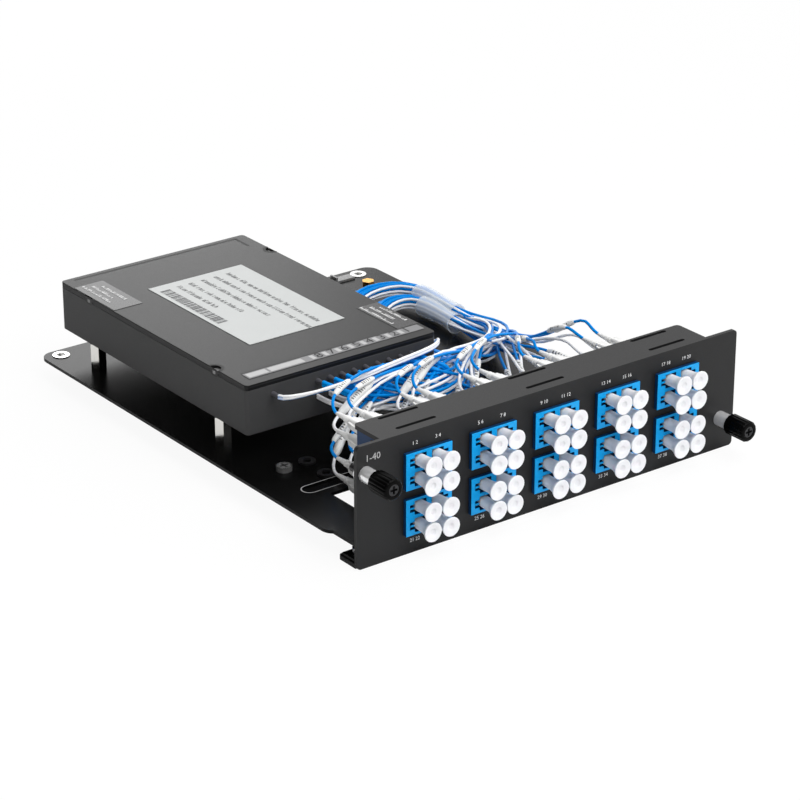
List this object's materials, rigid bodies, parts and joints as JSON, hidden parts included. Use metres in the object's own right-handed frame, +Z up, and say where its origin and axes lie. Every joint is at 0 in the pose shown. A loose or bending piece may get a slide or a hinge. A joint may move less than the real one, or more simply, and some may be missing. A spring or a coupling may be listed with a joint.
{
  "type": "fibre multiplexer module",
  "caption": "Plug-in optical multiplexer module: front panel of blue duplex adapters with white dust caps, captive thumbscrews, and an optics box with its fibre harness on a tray.",
  "frame": {"origin": "middle of the front panel's back face", "axes": "+X to the right along the panel seen from the front, +Y back into the rack, +Z up"},
  "size_m": [0.1633, 0.2122, 0.0434],
  "materials": {
    "adapter_blue": "moulded, semi-gloss",
    "boot_white": "soft moulded",
    "box_black": "moulded black, satin",
    "bundle_blue": "loose tubes gathered together",
    "cap_white": "soft translucent moulding",
    "clip_steel": "spring steel",
    "clip_tin": "tin plated",
    "eyelet_tin": "tin plated",
    "ferrule_steel": "turned, bright",
    "fibre_blue": "loose tube",
    "fibre_white": "loose tube",
    "knob_black": "ribbed, semi-gloss",
    "label_paper": "pale film label",
    "lid_black": "fine textured black",
    "marker_white": "shrink sleeve",
    "nut_black": "coated with the tray",
    "panel_black": "fine matt powder coat",
    "plug_white": "moulded",
    "post_brass": "turned brass",
    "screw_black": "blackened steel",
    "screw_black_oxide": "black oxide",
    "screw_steel": "zinc plated",
    "seal_film": "thin grey film",
    "sleeve_clear": "clear soft tube",
    "standoff_nickel": "nickel plated",
    "strip_paper": "pale film strip",
    "tip_grey": "soft dark grey",
    "tray_black": "smooth semi-gloss black",
    "washer_nylon": "nylon"
  },
  "bodies": {
    "module": {"adapter_clips": "clip_steel", "adapters_lower_1": "adapter_blue", "adapters_lower_2": "adapter_blue", "adapters_lower_3": "adapter_blue", "adapters_lower_4": "adapter_blue", "adapters_lower_5": "adapter_blue", "adapters_upper_1": "adapter_blue", "adapters_upper_2": "adapter_blue", "adapters_upper_3": "adapter_blue", "adapters_upper_4": "adapter_blue", "adapters_upper_5": "adapter_blue", "blue_fibres": "fibre_blue", "blue_tails": "fibre_blue", "box_base": "box_black", "box_label": "label_paper", "box_lid": "lid_black", "clear_sleeves": "sleeve_clear", "clinch_nuts": "nut_black", "dust_caps_lower_1": "cap_white", "dust_caps_lower_2": "cap_white", "dust_caps_lower_3": "cap_white", "dust_caps_lower_4": "cap_white", "dust_caps_lower_5": "cap_white", "dust_caps_upper_1": "cap_white", "dust_caps_upper_2": "cap_white", "dust_caps_upper_3": "cap_white", "dust_caps_upper_4": "cap_white", "dust_caps_upper_5": "cap_white", "foot_screws": "screw_steel", "front_panel": "panel_black", "input_fibres": "fibre_blue", "left_ferrule": "ferrule_steel", "lid_screws": "screw_black_oxide", "lower_bundle": "bundle_blue", "marker_sleeves": "marker_white", "outlet_tips": "tip_grey", "port_strip": "strip_paper", "rear_boots_lower": "boot_white", "rear_boots_upper": "boot_white", "rear_plugs_lower": "plug_white", "rear_plugs_upper": "plug_white", "right_ferrule": "ferrule_steel", "seal_labels": "seal_film", "spare_screw": "screw_black_oxide", "standoff_screws": "screw_steel", "standoffs": "standoff_nickel", "tray_clip": "clip_tin", "tray_eyelets": "eyelet_tin", "tray_plate": "tray_black", "tray_post": "post_brass", "upper_bundle": "bundle_blue", "white_fibres": "fibre_white", "white_tails": "fibre_white"},
    "left_slider": {"left_thrust_washer": "washer_nylon"},
    "left_thumbscrew": {"left_screw": "screw_black", "left_knob": "knob_black"},
    "right_slider": {"right_thrust_washer": "washer_nylon"},
    "right_thumbscrew": {"right_screw": "screw_black", "right_knob": "knob_black"}
  },
  "joints": [
    {"name": "left_screw_push", "type": "slide", "parent": "module", "child": "left_slider", "axis": [0, 1, 0], "range_m": [0, 0.0046]},
    {"name": "left_screw_turn", "type": "hinge", "parent": "left_slider", "child": "left_thumbscrew", "pos_m": [-0.0777, -0.01, 0.0117], "axis": [0, 1, 0], "continuous": true},
    {"name": "right_screw_push", "type": "slide", "parent": "module", "child": "right_slider", "axis": [0, 1, 0], "range_m": [0, 0.0046]},
    {"name": "right_screw_turn", "type": "hinge", "parent": "right_slider", "child": "right_thumbscrew", "pos_m": [0.0748, -0.01, -0.01], "axis": [0, 1, 0], "continuous": true}
  ]
}
